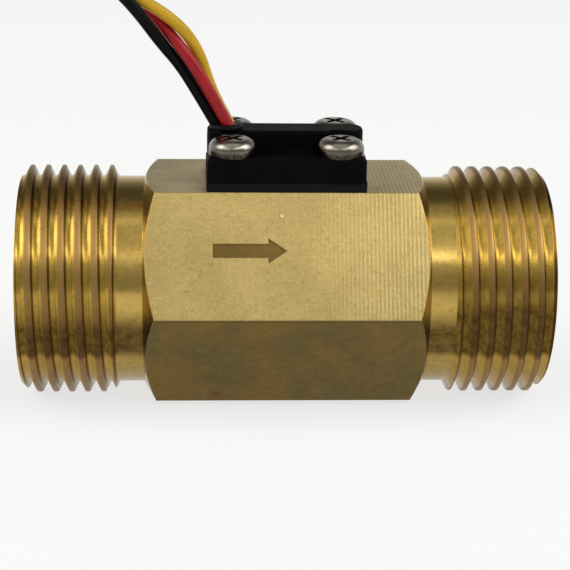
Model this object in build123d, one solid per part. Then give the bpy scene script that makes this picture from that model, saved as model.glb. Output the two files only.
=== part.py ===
# Water flow sensor: a threaded brass body with a turbine inside and a sealed pulse sensor on top.
#
# Millimetres, +Z up. X is the flow axis, water runs towards +X, and the sensor housing is above it.
# The origin is on the surface that the sensor lies on, straight below the middle of the hexagon.
# Everything but the wires and their connector is drawn about the flow axis at z = 0, and is lifted
# to its place when it is exported. "Front" is the -Y side, where the arrow is.
#
# Order of this file: sizes, body, flow guides and turbine, sensor housing, electronics, wires.

from build123d import *
import math
import os

os.makedirs("parts", exist_ok=True)

# Pipe thread: parallel, 1 inch nominal, right hand, 11 turns per inch, 55 degree flanks
THREAD_DIAMETER = 33.249
THREAD_PITCH = 2.309
THREAD_DEPTH = 1.479
THREAD_LENGTH = 14.0
THREAD_FLANK_ANGLE = 27.5
THREAD_ROOT_LAND = 0.385
THREAD_END_CHAMFER = 1.2
THREAD_INNER_CHAMFER = 0.8
INLET_GROOVE_FROM_END = 3.12
OUTLET_GROOVE_FROM_END = 1.205
CUTTER_CLEARANCE = 0.2

# Body
HEX_ACROSS_FLATS = 31.4
HEX_LENGTH = 40.2
HEX_END_RADIUS = 15.3
HEX_CHAMFER_ANGLE = 30.0
NECK_LENGTH = 3.7
NECK_UNDERCUT = 0.1
BODY_LENGTH = HEX_LENGTH + 2 * NECK_LENGTH + 2 * THREAD_LENGTH
BORE_RADIUS = 12.5
BORE_MOUTH_CHAMFER = 0.8
WEB_BORE_RADIUS = 12.0
WEB_LENGTH = 18.4
RING_GROOVE_DEPTH = 0.6
RING_GROOVE_WIDTH = 1.0

# Flow arrow, engraved in the upper front flat
ARROW_TAIL_X = -10.4
ARROW_SHAFT_LENGTH = 7.7
ARROW_SHAFT_WIDTH = 1.9
ARROW_HEAD_LENGTH = 2.6
ARROW_HEAD_WIDTH = 3.5
ARROW_UP_FLAT = 0.75
ARROW_DEPTH = 0.15

# Flow guides
GUIDE_RING_LENGTH = 7.8
GUIDE_BORE_CLEARANCE = 0.05
GUIDE_RING_WALL = 0.95
GUIDE_HUB_RADIUS = 4.5
GUIDE_HUB_LENGTH = 4.4
GUIDE_NOSE_LENGTH = 3.9
GUIDE_TAIL_TIP_RADIUS = 1.2
GUIDE_VANE_COUNT = 4
GUIDE_VANE_THICKNESS = 1.4
GUIDE_VANE_LENGTH = 6.4
GUIDE_VANE_SETBACK = 0.7
RING_SIDE_CLEARANCE = 0.2

# Retaining rings
RING_THICKNESS = 0.9
RING_INNER_RADIUS = 11.7
RING_GROOVE_CLEARANCE = 0.05
RING_GAP_ANGLE = 30.0

# Turbine
SHAFT_RADIUS = 1.0
SHAFT_IN_BUSH = 2.8
SHAFT_CHAMFER = 0.2
SHAFT_CLEARANCE = 0.05
BUSH_RADIUS = 2.0
BUSH_LENGTH = 3.0
BUSH_POCKET_SPARE = 0.2
WASHER_RADIUS = 2.4
WASHER_BORE_RADIUS = 1.1
WASHER_THICKNESS = 0.4
ROTOR_END_PLAY = 0.2
ROTOR_HUB_RADIUS = 5.5
ROTOR_HUB_NOSE = 1.2
ROTOR_TIP_CLEARANCE = 0.4
BLADE_COUNT = 6
BLADE_THICKNESS = 1.1
BLADE_LENGTH = 10.6
BLADE_LEAD = 64.0
BLADE_FROM_INLET_END = 1.0
BLADE_HUB_BITE = 0.8
MAGNET_RADIUS = 2.0
MAGNET_THICKNESS = 2.5
MAGNET_FROM_OUTLET_END = 3.1

# Screws
SCREW_FROM_BASE_END = 3.55
SCREW_FROM_BASE_SIDE = 3.5
SCREW_RADIUS = 1.5
SCREW_HOLE_RADIUS = 1.7
SCREW_HEAD_RADIUS = 3.35
SCREW_HEAD_HEIGHT = 2.35
SCREW_HEAD_ROUND = 1.5
SCREW_DEPTH_IN_BODY = 3.0
SCREW_HOLE_SPARE = 0.3
SCREW_POINT_CHAMFER = 0.3
RECESS_SPAN = 3.6
RECESS_WIDTH = 0.9
RECESS_DEPTH = 1.2

# Sensor housing: a flat base with a raised bar along its middle
PAD_THICKNESS = 1.2
PAD_END_RIM = 0.15
PAD_SIDE_RIM = 0.1
PAD_CORNER_RADIUS = 1.0
BASE_LENGTH = 22.3
BASE_WIDTH = 17.8
BASE_HEIGHT = 3.4
BASE_CORNER_RADIUS = 0.8
BAR_WIDTH = 5.2
BAR_HEIGHT = 2.6
BAR_CORNER_RADIUS = 2.2
TOP_EDGE_ROUND = 0.4
RELIEF_CLEARANCE = 0.1
HOUSING_END_WALL = 0.65
HOUSING_ROOF = 1.0
CHAMBER_HEIGHT = 2.0
CHAMBER_STRIP_WIDTH = 4.4
CHAMBER_CROSS_LENGTH = 8.4
CHAMBER_SIDE_WALL = 1.4
BAR_CHAMBER_WIDTH = 3.5

# Electronics
BOARD_CLEARANCE = 0.15
BOARD_THICKNESS = 0.8
BOARD_UNDER_GAP = 1.0
HALL_LENGTH = 3.0
HALL_WIDTH = 4.0
HALL_HEIGHT = 0.9
CHIP_LENGTH = 2.0
CHIP_WIDTH = 1.25
CHIP_HEIGHT = 0.6
RESISTOR_X = 2.2
CAPACITOR_X = -2.2

# Wires and their seal
WIRE_DIAMETER = 1.7
WIRE_SPACING = 1.75
EXIT_FROM_BAR_END = 2.68
EXIT_LEAN = 30.0
EXIT_HOLE_RADIUS = 1.9
SOLDER_GAP = 0.02
SEAL_BEAD_RADIUS = 2.4
SEAL_BEAD_HEIGHT = 0.6

# Connector at the wires' far end: three ways, 2.5 mm pitch
CONNECTOR_PITCH = 2.5
CONNECTOR_LENGTH = 8.0
CONNECTOR_HEIGHT = 5.75
CONNECTOR_WIDTH = 9.8
CONNECTOR_CAVITY = 2.1
CONNECTOR_CAVITY_Z = 2.9
CONNECTOR_X = -59.0
CONNECTOR_Y = 24.5
CONNECTOR_WIRE_ENTRY = 1.5
CONNECTOR_EDGE = 0.3
LATCH_WIDTH = 3.0
LATCH_LENGTH = 4.0
LATCH_HEIGHT = 0.8
TERMINAL_LENGTH = 5.5
TERMINAL_WALL = 0.25

# Levels that follow from the sizes above, from the flow axis
AXIS_HEIGHT = THREAD_DIAMETER / 2
FLAT_Z = HEX_ACROSS_FLATS / 2
BASE_Z = FLAT_Z + PAD_THICKNESS
LEDGE_Z = BASE_Z + BASE_HEIGHT
BAR_TOP_Z = LEDGE_Z + BAR_HEIGHT
BOARD_Z = BASE_Z + BOARD_UNDER_GAP
BOARD_TOP_Z = BOARD_Z + BOARD_THICKNESS
GUIDE_X = WEB_LENGTH / 2
SHAFT_LENGTH = WEB_LENGTH + 2 * SHAFT_IN_BUSH
ROTOR_HALF_LENGTH = GUIDE_X - WASHER_THICKNESS - ROTOR_END_PLAY
ROTOR_TIP_RADIUS = WEB_BORE_RADIUS - ROTOR_TIP_CLEARANCE
MAGNET_X = ROTOR_HALF_LENGTH - MAGNET_FROM_OUTLET_END
SCREW_X = BASE_LENGTH / 2 - SCREW_FROM_BASE_END
SCREW_Y = BASE_WIDTH / 2 - SCREW_FROM_BASE_SIDE
EXIT_X = EXIT_FROM_BAR_END - BASE_LENGTH / 2

SCREW_PLACES = [
    (SCREW_X, SCREW_Y),
    (-SCREW_X, SCREW_Y),
    (SCREW_X, -SCREW_Y),
    (-SCREW_X, -SCREW_Y),
]


def save(shape, name):
    """Write one piece that is drawn about the flow axis."""
    export_step(Pos(0, 0, AXIS_HEIGHT) * shape, f"parts/{name}.step")


def save_on_floor(shape, name):
    """Write one piece that is drawn above the surface that the sensor lies on."""
    export_step(shape, f"parts/{name}.step")


def block(length, width, bottom, top):
    """A block about the Z axis between two levels."""
    lift = Pos(0, 0, bottom)
    return lift * Box(length, width, top - bottom, align=(Align.CENTER, Align.CENTER, Align.MIN))


def post(x, y, radius, bottom, top):
    """A round post or hole along Z."""
    lift = Pos(x, y, bottom)
    return lift * Cylinder(radius, top - bottom, align=(Align.CENTER, Align.CENTER, Align.MIN))


def tube_x(radius, start, end):
    """A round bar along the flow axis between two places."""
    turn = Pos(start, 0, 0) * Rot(0, 90, 0)
    return turn * Cylinder(radius, end - start, align=(Align.CENTER, Align.CENTER, Align.MIN))


def turned(points):
    """A solid of revolution about the flow axis from (x, radius) points."""
    outline = Polyline([(x, 0, radius) for x, radius in points], close=True)
    return revolve(make_face(outline), Axis.X)


def to_outlet(shape):
    """The same piece turned end for end."""
    return Rot(0, 0, 180) * shape


# Body: hexagon, necks and threads

def thread_cutter(front_angle, first_groove):
    """The thread's groove from just outside the inlet end to just past the thread."""
    root_radius = THREAD_DIAMETER / 2 - THREAD_DEPTH
    outer_radius = THREAD_DIAMETER / 2 + CUTTER_CLEARANCE
    spread = (outer_radius - root_radius) * math.tan(math.radians(THREAD_FLANK_ANGLE))
    root_half = THREAD_ROOT_LAND / 2
    outer_half = root_half + spread
    margin = outer_half + CUTTER_CLEARANCE
    start_angle = front_angle - 360 * (first_groove + margin) / THREAD_PITCH
    helix = Edge.make_helix(THREAD_PITCH, THREAD_LENGTH + 2 * margin, root_radius)
    section = Polyline(
        (root_radius, 0, -root_half),
        (outer_radius, 0, -outer_half),
        (outer_radius, 0, outer_half),
        (root_radius, 0, root_half),
        close=True,
    )
    groove = Solid.sweep(make_face(section).face(), Wire([helix]), is_frenet=True)
    groove = groove.rotate(Axis.Z, start_angle % 360)
    return Pos(-BODY_LENGTH / 2 - margin, 0, 0) * Rot(0, 90, 0) * groove


def threaded_end(front_angle, first_groove):
    """The inlet end's thread, chamfered at both ends.

    The cut is lost where the groove starts or ends on the seam of the turned blank, so the
    blank is turned about its axis until the groove has really been taken out of it.
    """
    end_face = -BODY_LENGTH / 2
    radius = THREAD_DIAMETER / 2
    inner = end_face + THREAD_LENGTH
    blank = turned([
        (end_face, 0),
        (end_face, radius - THREAD_END_CHAMFER),
        (end_face + THREAD_END_CHAMFER, radius),
        (inner - THREAD_INNER_CHAMFER, radius),
        (inner, radius - THREAD_DEPTH - NECK_UNDERCUT),
        (inner, 0),
    ])
    groove = thread_cutter(front_angle, first_groove)
    for seam_angle in range(0, 360, 20):
        thread = Rot(seam_angle, 0, 0) * blank - groove
        removed = (blank.volume - thread.volume) / groove.volume
        if len(thread.solids()) == 1 and thread.is_valid and 0.45 < removed < 0.85:
            return thread
    raise ValueError("the thread could not be cut")


neck_radius = THREAD_DIAMETER / 2 - THREAD_DEPTH - NECK_UNDERCUT
neck_end = HEX_LENGTH / 2 + NECK_LENGTH
neck = tube_x(neck_radius, -neck_end, neck_end)

hex_corner_radius = HEX_ACROSS_FLATS / math.sqrt(3)
hex_chamfer = (hex_corner_radius - HEX_END_RADIUS) * math.tan(math.radians(HEX_CHAMFER_ANGLE))
hex_profile = Plane.YZ.offset(-HEX_LENGTH / 2) * RegularPolygon(hex_corner_radius, 6)
hexagon = extrude(hex_profile, HEX_LENGTH)
hexagon &= turned([
    (-HEX_LENGTH / 2, 0),
    (-HEX_LENGTH / 2, HEX_END_RADIUS),
    (-HEX_LENGTH / 2 + hex_chamfer, hex_corner_radius),
    (HEX_LENGTH / 2 - hex_chamfer, hex_corner_radius),
    (HEX_LENGTH / 2, HEX_END_RADIUS),
    (HEX_LENGTH / 2, 0),
])

body = hexagon + neck
body += threaded_end(270, INLET_GROOVE_FROM_END)
body += to_outlet(threaded_end(90, OUTLET_GROOVE_FROM_END))

# The bore: wide from both ends to the web that the flow guides stand against
ring_groove_x = GUIDE_X + GUIDE_RING_LENGTH + RING_SIDE_CLEARANCE
ring_groove_radius = BORE_RADIUS + RING_GROOVE_DEPTH
body -= tube_x(WEB_BORE_RADIUS, -BODY_LENGTH / 2, BODY_LENGTH / 2)
half_bore = turned([
    (-BODY_LENGTH / 2, 0),
    (-BODY_LENGTH / 2, BORE_RADIUS + BORE_MOUTH_CHAMFER),
    (-BODY_LENGTH / 2 + BORE_MOUTH_CHAMFER, BORE_RADIUS),
    (-ring_groove_x - RING_GROOVE_WIDTH, BORE_RADIUS),
    (-ring_groove_x - RING_GROOVE_WIDTH, ring_groove_radius),
    (-ring_groove_x, ring_groove_radius),
    (-ring_groove_x, BORE_RADIUS),
    (-GUIDE_X, BORE_RADIUS),
    (-GUIDE_X, 0),
])
body -= half_bore
body -= to_outlet(half_bore)

# Blind holes for the housing screws
screw_hole_bottom = FLAT_Z - SCREW_DEPTH_IN_BODY - SCREW_HOLE_SPARE
for x, y in SCREW_PLACES:
    body -= post(x, y, SCREW_RADIUS, screw_hole_bottom, FLAT_Z)

# Flow arrow on the upper front flat
arrow_neck = ARROW_TAIL_X + ARROW_SHAFT_LENGTH
arrow_outline = Polyline(
    (ARROW_TAIL_X, -ARROW_SHAFT_WIDTH / 2),
    (arrow_neck, -ARROW_SHAFT_WIDTH / 2),
    (arrow_neck, -ARROW_HEAD_WIDTH / 2),
    (arrow_neck + ARROW_HEAD_LENGTH, 0),
    (arrow_neck, ARROW_HEAD_WIDTH / 2),
    (arrow_neck, ARROW_SHAFT_WIDTH / 2),
    (ARROW_TAIL_X, ARROW_SHAFT_WIDTH / 2),
    close=True,
)
arrow = extrude(Pos(0, ARROW_UP_FLAT, -ARROW_DEPTH) * make_face(arrow_outline), 2 * ARROW_DEPTH)
body -= Rot(60, 0, 0) * Pos(0, 0, FLAT_Z) * arrow
save(body, "body")

# Flow guides: a ring in the bore, four vanes, and a hub that holds the shaft's bush

guide_outer_radius = BORE_RADIUS - GUIDE_BORE_CLEARANCE
guide_inner_radius = guide_outer_radius - GUIDE_RING_WALL
bush_pocket_end = GUIDE_X + BUSH_LENGTH + BUSH_POCKET_SPARE
hub_shoulder = GUIDE_X + GUIDE_HUB_LENGTH
hub_tip = hub_shoulder + GUIDE_NOSE_LENGTH


def flow_guide(hub):
    """Ring, vanes and bush pocket about a hub, for the outlet side."""
    ring_end = GUIDE_X + GUIDE_RING_LENGTH
    ring = tube_x(guide_outer_radius, GUIDE_X, ring_end)
    ring -= tube_x(guide_inner_radius, GUIDE_X, ring_end)
    vane_start = GUIDE_X + GUIDE_VANE_SETBACK
    vane_reach = (guide_outer_radius + guide_inner_radius) / 2
    guide = ring + hub
    for index in range(GUIDE_VANE_COUNT):
        vane = Box(
            GUIDE_VANE_LENGTH,
            GUIDE_VANE_THICKNESS,
            vane_reach,
            align=(Align.MIN, Align.CENTER, Align.MIN),
        )
        vane = fillet(vane.edges().filter_by(Axis.Z).group_by(Axis.X)[-1], GUIDE_VANE_THICKNESS / 2.2)
        guide += Rot(360 / GUIDE_VANE_COUNT * index, 0, 0) * Pos(vane_start, 0, 0) * vane
    guide -= tube_x(BUSH_RADIUS, GUIDE_X, bush_pocket_end)
    return guide


# The inlet's hub ends in a round nose and the outlet's in a tail cone
nose_hub = tube_x(GUIDE_HUB_RADIUS, GUIDE_X, hub_shoulder)
nose_middle = (
    hub_shoulder + GUIDE_NOSE_LENGTH * math.sin(math.radians(45)),
    0,
    GUIDE_HUB_RADIUS * math.cos(math.radians(45)),
)
nose_face = make_face([
    Line((hub_shoulder, 0, 0), (hub_shoulder, 0, GUIDE_HUB_RADIUS)),
    ThreePointArc((hub_shoulder, 0, GUIDE_HUB_RADIUS), nose_middle, (hub_tip, 0, 0)),
    Line((hub_tip, 0, 0), (hub_shoulder, 0, 0)),
])
nose_hub += revolve(nose_face, Axis.X)
inlet_guide = to_outlet(flow_guide(nose_hub))
save(inlet_guide, "inlet_guide")

tail_hub = turned([
    (GUIDE_X, 0),
    (GUIDE_X, GUIDE_HUB_RADIUS),
    (hub_shoulder, GUIDE_HUB_RADIUS),
    (hub_tip, GUIDE_TAIL_TIP_RADIUS),
    (hub_tip, 0),
])
tail_hub = fillet(
    tail_hub.edges().filter_by(GeomType.CIRCLE).filter_by(lambda e: abs(e.center().X - hub_shoulder) < 0.01),
    1.0,
)
outlet_guide = flow_guide(tail_hub)
save(outlet_guide, "outlet_guide")

# Bushes and thrust washers
bush = tube_x(BUSH_RADIUS, GUIDE_X, GUIDE_X + BUSH_LENGTH)
bush -= tube_x(SHAFT_RADIUS + SHAFT_CLEARANCE, GUIDE_X, GUIDE_X + BUSH_LENGTH)
save(to_outlet(bush), "inlet_bush")
save(bush, "outlet_bush")

washer = tube_x(WASHER_RADIUS, GUIDE_X - WASHER_THICKNESS, GUIDE_X)
washer -= tube_x(WASHER_BORE_RADIUS, GUIDE_X - WASHER_THICKNESS, GUIDE_X)
save(to_outlet(washer), "inlet_thrust_washer")
save(washer, "outlet_thrust_washer")

# Retaining rings, open at the bottom
ring_start = ring_groove_x + (RING_GROOVE_WIDTH - RING_THICKNESS) / 2
ring_end = ring_start + RING_THICKNESS
retaining_ring = tube_x(ring_groove_radius - RING_GROOVE_CLEARANCE, ring_start, ring_end)
retaining_ring -= tube_x(RING_INNER_RADIUS, ring_start, ring_end)
gap_width = 2 * RING_INNER_RADIUS * math.sin(math.radians(RING_GAP_ANGLE / 2))
gap = Box(
    4 * RING_THICKNESS,
    gap_width,
    ring_groove_radius,
    align=(Align.CENTER, Align.CENTER, Align.MAX),
)
retaining_ring -= Pos((ring_start + ring_end) / 2, 0, -RING_INNER_RADIUS / 2) * gap
save(to_outlet(retaining_ring), "inlet_retaining_ring")
save(retaining_ring, "outlet_retaining_ring")

# Turbine: hub, helical blades, magnets in the hub's outlet end, and the shaft

rotor = turned([
    (-ROTOR_HALF_LENGTH, 0),
    (-ROTOR_HALF_LENGTH, ROTOR_HUB_RADIUS - ROTOR_HUB_NOSE),
    (-ROTOR_HALF_LENGTH + ROTOR_HUB_NOSE, ROTOR_HUB_RADIUS),
    (ROTOR_HALF_LENGTH - ROTOR_HUB_NOSE / 3, ROTOR_HUB_RADIUS),
    (ROTOR_HALF_LENGTH, ROTOR_HUB_RADIUS - ROTOR_HUB_NOSE / 3),
    (ROTOR_HALF_LENGTH, 0),
])
blade_start = -ROTOR_HALF_LENGTH + BLADE_FROM_INLET_END
blade_root = ROTOR_HUB_RADIUS - BLADE_HUB_BITE
blade_section = Polyline(
    (blade_root, -BLADE_THICKNESS / 2, 0),
    (ROTOR_TIP_RADIUS, -BLADE_THICKNESS / 2, 0),
    (ROTOR_TIP_RADIUS, BLADE_THICKNESS / 2, 0),
    (blade_root, BLADE_THICKNESS / 2, 0),
    close=True,
)
blade_path = Wire([Edge.make_helix(BLADE_LEAD, BLADE_LENGTH, blade_root)])
blade = Solid.sweep(make_face(blade_section).face(), blade_path, is_frenet=True)
blade = Pos(blade_start, 0, 0) * Rot(0, 90, 0) * blade
for index in range(BLADE_COUNT):
    rotor += Rot(360 / BLADE_COUNT * index, 0, 0) * blade
rotor -= tube_x(SHAFT_RADIUS, -ROTOR_HALF_LENGTH, ROTOR_HALF_LENGTH)
magnet_bottom = ROTOR_HUB_RADIUS - MAGNET_THICKNESS
magnet = post(MAGNET_X, 0, MAGNET_RADIUS, magnet_bottom, ROTOR_HUB_RADIUS + MAGNET_RADIUS)
magnet &= tube_x(ROTOR_HUB_RADIUS, -ROTOR_HALF_LENGTH, ROTOR_HALF_LENGTH)
magnets = magnet + Rot(180, 0, 0) * magnet
rotor -= magnets
save(rotor, "rotor")
save(magnets, "rotor_magnets")

shaft = tube_x(SHAFT_RADIUS, -SHAFT_LENGTH / 2, SHAFT_LENGTH / 2)
shaft = chamfer(shaft.edges().filter_by(GeomType.CIRCLE), SHAFT_CHAMFER)
save(shaft, "rotor_shaft")

# Sensor housing on its seal pad

pad_length = BASE_LENGTH + 2 * PAD_END_RIM
pad_width = BASE_WIDTH + 2 * PAD_SIDE_RIM
pad = extrude(Pos(0, 0, FLAT_Z) * RectangleRounded(pad_length, pad_width, PAD_CORNER_RADIUS), PAD_THICKNESS)
for x, y in SCREW_PLACES:
    pad -= post(x, y, SCREW_HOLE_RADIUS, FLAT_Z, BASE_Z)
save(pad, "seal_pad")

base = extrude(Pos(0, 0, BASE_Z) * RectangleRounded(BASE_LENGTH, BASE_WIDTH, BASE_CORNER_RADIUS), BASE_HEIGHT)
base = fillet(base.faces().sort_by(Axis.Z)[-1].edges(), TOP_EDGE_ROUND)
bar = extrude(Pos(0, 0, BASE_Z) * RectangleRounded(BASE_LENGTH, BAR_WIDTH, BAR_CORNER_RADIUS), BAR_TOP_Z - BASE_Z)
relief_radius = SCREW_HEAD_RADIUS + RELIEF_CLEARANCE
for x, y in SCREW_PLACES:
    bar -= post(x, y, relief_radius, BASE_Z, BAR_TOP_Z)
bar = fillet(bar.faces().sort_by(Axis.Z)[-1].edges(), TOP_EDGE_ROUND)
housing = base + bar
chamber_length = BASE_LENGTH - 2 * HOUSING_END_WALL
chamber_width = BASE_WIDTH - 2 * CHAMBER_SIDE_WALL
chamber_top = BASE_Z + CHAMBER_HEIGHT
chamber = block(chamber_length, CHAMBER_STRIP_WIDTH, BASE_Z, chamber_top)
chamber += block(CHAMBER_CROSS_LENGTH, chamber_width, BASE_Z, chamber_top)
chamber += block(chamber_length, BAR_CHAMBER_WIDTH, BASE_Z, BAR_TOP_Z - HOUSING_ROOF)
housing -= chamber
exit_place = Pos(EXIT_X, 0, BAR_TOP_Z) * Rot(0, -EXIT_LEAN, 0)
housing -= exit_place * Cylinder(EXIT_HOLE_RADIUS, 4 * HOUSING_ROOF)
for x, y in SCREW_PLACES:
    housing -= post(x, y, SCREW_HOLE_RADIUS, BASE_Z, LEDGE_Z)
save(housing, "sensor_housing")

screw = post(0, 0, SCREW_RADIUS, FLAT_Z - SCREW_DEPTH_IN_BODY, LEDGE_Z)
screw = chamfer(screw.edges().sort_by(Axis.Z)[0], SCREW_POINT_CHAMFER)
head = post(0, 0, SCREW_HEAD_RADIUS, LEDGE_Z, LEDGE_Z + SCREW_HEAD_HEIGHT)
head = fillet(head.edges().sort_by(Axis.Z)[-1], SCREW_HEAD_ROUND)
recess_bottom = LEDGE_Z + SCREW_HEAD_HEIGHT - RECESS_DEPTH
recess = block(RECESS_SPAN, RECESS_WIDTH, recess_bottom, BAR_TOP_Z)
recess += block(RECESS_WIDTH, RECESS_SPAN, recess_bottom, BAR_TOP_Z)
screw = screw + head - Rot(0, 0, 45) * recess
save(Compound(children=[Pos(x, y, 0) * screw for x, y in SCREW_PLACES]), "housing_screws")

# Electronics in the housing

board_side = 2 * BOARD_CLEARANCE
board = block(chamber_length - board_side, CHAMBER_STRIP_WIDTH - board_side, BOARD_Z, BOARD_TOP_Z)
board += block(
    CHAMBER_CROSS_LENGTH - board_side,
    chamber_width - board_side,
    BOARD_Z,
    BOARD_TOP_Z,
)
save(board, "circuit_board")

hall = Pos(MAGNET_X, 0, 0) * block(HALL_LENGTH, HALL_WIDTH, BOARD_Z - HALL_HEIGHT, BOARD_Z)
save(hall, "hall_sensor")

chip = block(CHIP_WIDTH, CHIP_LENGTH, BOARD_TOP_Z, BOARD_TOP_Z + CHIP_HEIGHT)
save(Pos(RESISTOR_X, 0, 0) * chip, "resistor")
save(Pos(CAPACITOR_X, 0, 0) * chip, "capacitor")

potting = block(chamber_length, CHAMBER_STRIP_WIDTH, BASE_Z, BOARD_Z)
potting += block(CHAMBER_CROSS_LENGTH, chamber_width, BASE_Z, BOARD_Z)
potting -= hall
save(potting, "potting")

# Wires: red, yellow and black leave the bar side by side, close as strands of one bundle, and lean
# to the left from the start. They rise, arch over, come down and lie on the surface up to the
# connector. Their points are measured from the surface that the sensor lies on.

lean = math.radians(EXIT_LEAN)
exit_top_z = AXIS_HEIGHT + BAR_TOP_Z
solder_z = AXIS_HEIGHT + BOARD_TOP_Z + WIRE_DIAMETER / 2 * math.sin(lean) + SOLDER_GAP
side_y = WIRE_SPACING / 2
side_u = WIRE_SPACING * math.sqrt(3) / 6
wire_end_y = CONNECTOR_Y + CONNECTOR_WIRE_ENTRY


def on_exit_line(across, y, z):
    """The point of a leaning wire at a height; across is its distance from the bundle's middle."""
    x = EXIT_X + across * math.cos(lean) - (z - exit_top_z - across * math.sin(lean)) * math.tan(lean)
    return (x, y, z)


RED_ROUTE = [
    on_exit_line(side_u, -side_y, solder_z),
    on_exit_line(side_u, -side_y, 41.6),
    (-11.0, -1.1, 45.2),
    (-13.1, -1.2, 48.8),
    (-15.8, -0.2, 52.2),
    (-19.2, 1.8, 55.5),
    (-23.1, 2.0, 59.0),
    (-27.6, 0.7, 62.8),
    (-34.6, -0.6, 65.5),
    (-42.8, -2.1, 65.6),
    (-50.1, -3.8, 61.7),
    (-55.7, -5.4, 54.4),
    (-59.2, -6.8, 45.0),
    (-61.1, -7.8, 34.7),
    (-61.8, -7.9, 24.5),
    (-61.9, -5.9, 14.4),
    (-61.8, 0.3, 6.6),
    (-61.7, 7.6, 2.4),
    (-61.55, 14.4, 0.9),
    (CONNECTOR_X - CONNECTOR_PITCH, 20.3, CONNECTOR_CAVITY_Z),
    (CONNECTOR_X - CONNECTOR_PITCH, wire_end_y, CONNECTOR_CAVITY_Z),
]
YELLOW_ROUTE = [
    on_exit_line(side_u, side_y, solder_z),
    on_exit_line(side_u, side_y, 41.6),
    (-10.9, 1.0, 45.5),
    (-12.2, 1.0, 49.8),
    (-14.5, -0.1, 53.6),
    (-18.6, -1.1, 56.9),
    (-23.5, -0.5, 59.0),
    (-28.4, -0.2, 61.4),
    (-35.0, -0.4, 63.4),
    (-42.3, -2.0, 63.7),
    (-48.9, -3.5, 60.2),
    (-54.1, -5.2, 53.5),
    (-57.3, -6.7, 44.5),
    (-59.1, -7.7, 34.5),
    (-59.6, -7.8, 24.4),
    (-59.0, -5.7, 14.5),
    (-57.6, 0.3, 6.5),
    (-56.9, 7.6, 2.4),
    (-56.6, 14.4, 0.9),
    (CONNECTOR_X + CONNECTOR_PITCH, 20.3, CONNECTOR_CAVITY_Z),
    (CONNECTOR_X + CONNECTOR_PITCH, wire_end_y, CONNECTOR_CAVITY_Z),
]
BLACK_ROUTE = [
    on_exit_line(-2 * side_u, 0.0, solder_z),
    on_exit_line(-2 * side_u, 0.0, 41.2),
    (-12.9, 0.2, 44.7),
    (-15.4, 0.3, 48.2),
    (-17.8, -0.6, 51.8),
    (-20.3, -2.05, 55.6),
    (-23.3, -2.8, 59.2),
    (-27.8, -2.2, 62.1),
    (-34.6, -2.4, 64.6),
    (-42.3, -3.8, 64.8),
    (-49.2, -5.4, 61.2),
    (-54.6, -7.0, 54.2),
    (-58.1, -8.4, 45.0),
    (-60.0, -9.4, 34.6),
    (-60.6, -9.5, 24.3),
    (-60.5, -7.3, 14.2),
    (-59.7, -0.3, 6.0),
    (-59.3, 7.3, 2.1),
    (-59.1, 14.3, 0.9),
    (CONNECTOR_X, 20.3, CONNECTOR_CAVITY_Z),
    (CONNECTOR_X, wire_end_y, CONNECTOR_CAVITY_Z),
]


def bend_radii(route):
    """The largest radius that fits each bend of a route."""
    points = [Vector(*point) for point in route]
    radii = []
    for before, corner, after in zip(points, points[1:], points[2:]):
        turn = (corner - before).get_angle(after - corner)
        run = min((corner - before).length, (after - corner).length)
        radii.append(0.45 * run / math.tan(math.radians(turn / 2)))
    return radii


def wire(route, name):
    """One wire as a round tube along its route, with its length and bends printed."""
    radii = bend_radii(route)
    path = FilletPolyline(*route, radius=radii)
    start = Plane(origin=path @ 0, z_dir=path % 0)
    tube = sweep(start * Circle(WIRE_DIAMETER / 2), path=path)
    section = math.pi * WIRE_DIAMETER**2 / 4
    print(name, "length", round(path.length, 1), "mm, smallest bend radius", round(min(radii), 1))
    print("  radii", [round(radius, 1) for radius in radii])
    print("  volume", round(tube.volume, 2), "against", round(section * path.length, 2))
    save_on_floor(tube, name)


wire(RED_ROUTE, "red_wire")
wire(YELLOW_ROUTE, "yellow_wire")
wire(BLACK_ROUTE, "black_wire")

# Seal where the wires leave the bar: fills the hole round them and stands up as a low bead
seal_bottom = BAR_TOP_Z - HOUSING_ROOF
seal = exit_place * Cylinder(EXIT_HOLE_RADIUS, 4 * HOUSING_ROOF)
seal &= block(BASE_LENGTH, BAR_WIDTH, seal_bottom, BAR_TOP_Z)
for x, y in SCREW_PLACES:
    seal -= post(x, y, relief_radius, BASE_Z, BAR_TOP_Z)
bead = post(EXIT_X, 0, SEAL_BEAD_RADIUS, BAR_TOP_Z, BAR_TOP_Z + SEAL_BEAD_HEIGHT)
seal += fillet(bead.edges().sort_by(Axis.Z)[-1], SEAL_BEAD_HEIGHT * 0.8)
for across, y in [(side_u, -side_y), (side_u, side_y), (-2 * side_u, 0)]:
    hole = Pos(across, y, 0) * Cylinder(WIRE_DIAMETER / 2, 8 * HOUSING_ROOF)
    seal -= exit_place * hole
save(seal, "wire_seal")

# Connector: one cavity for each wire, and a latch on top

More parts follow.
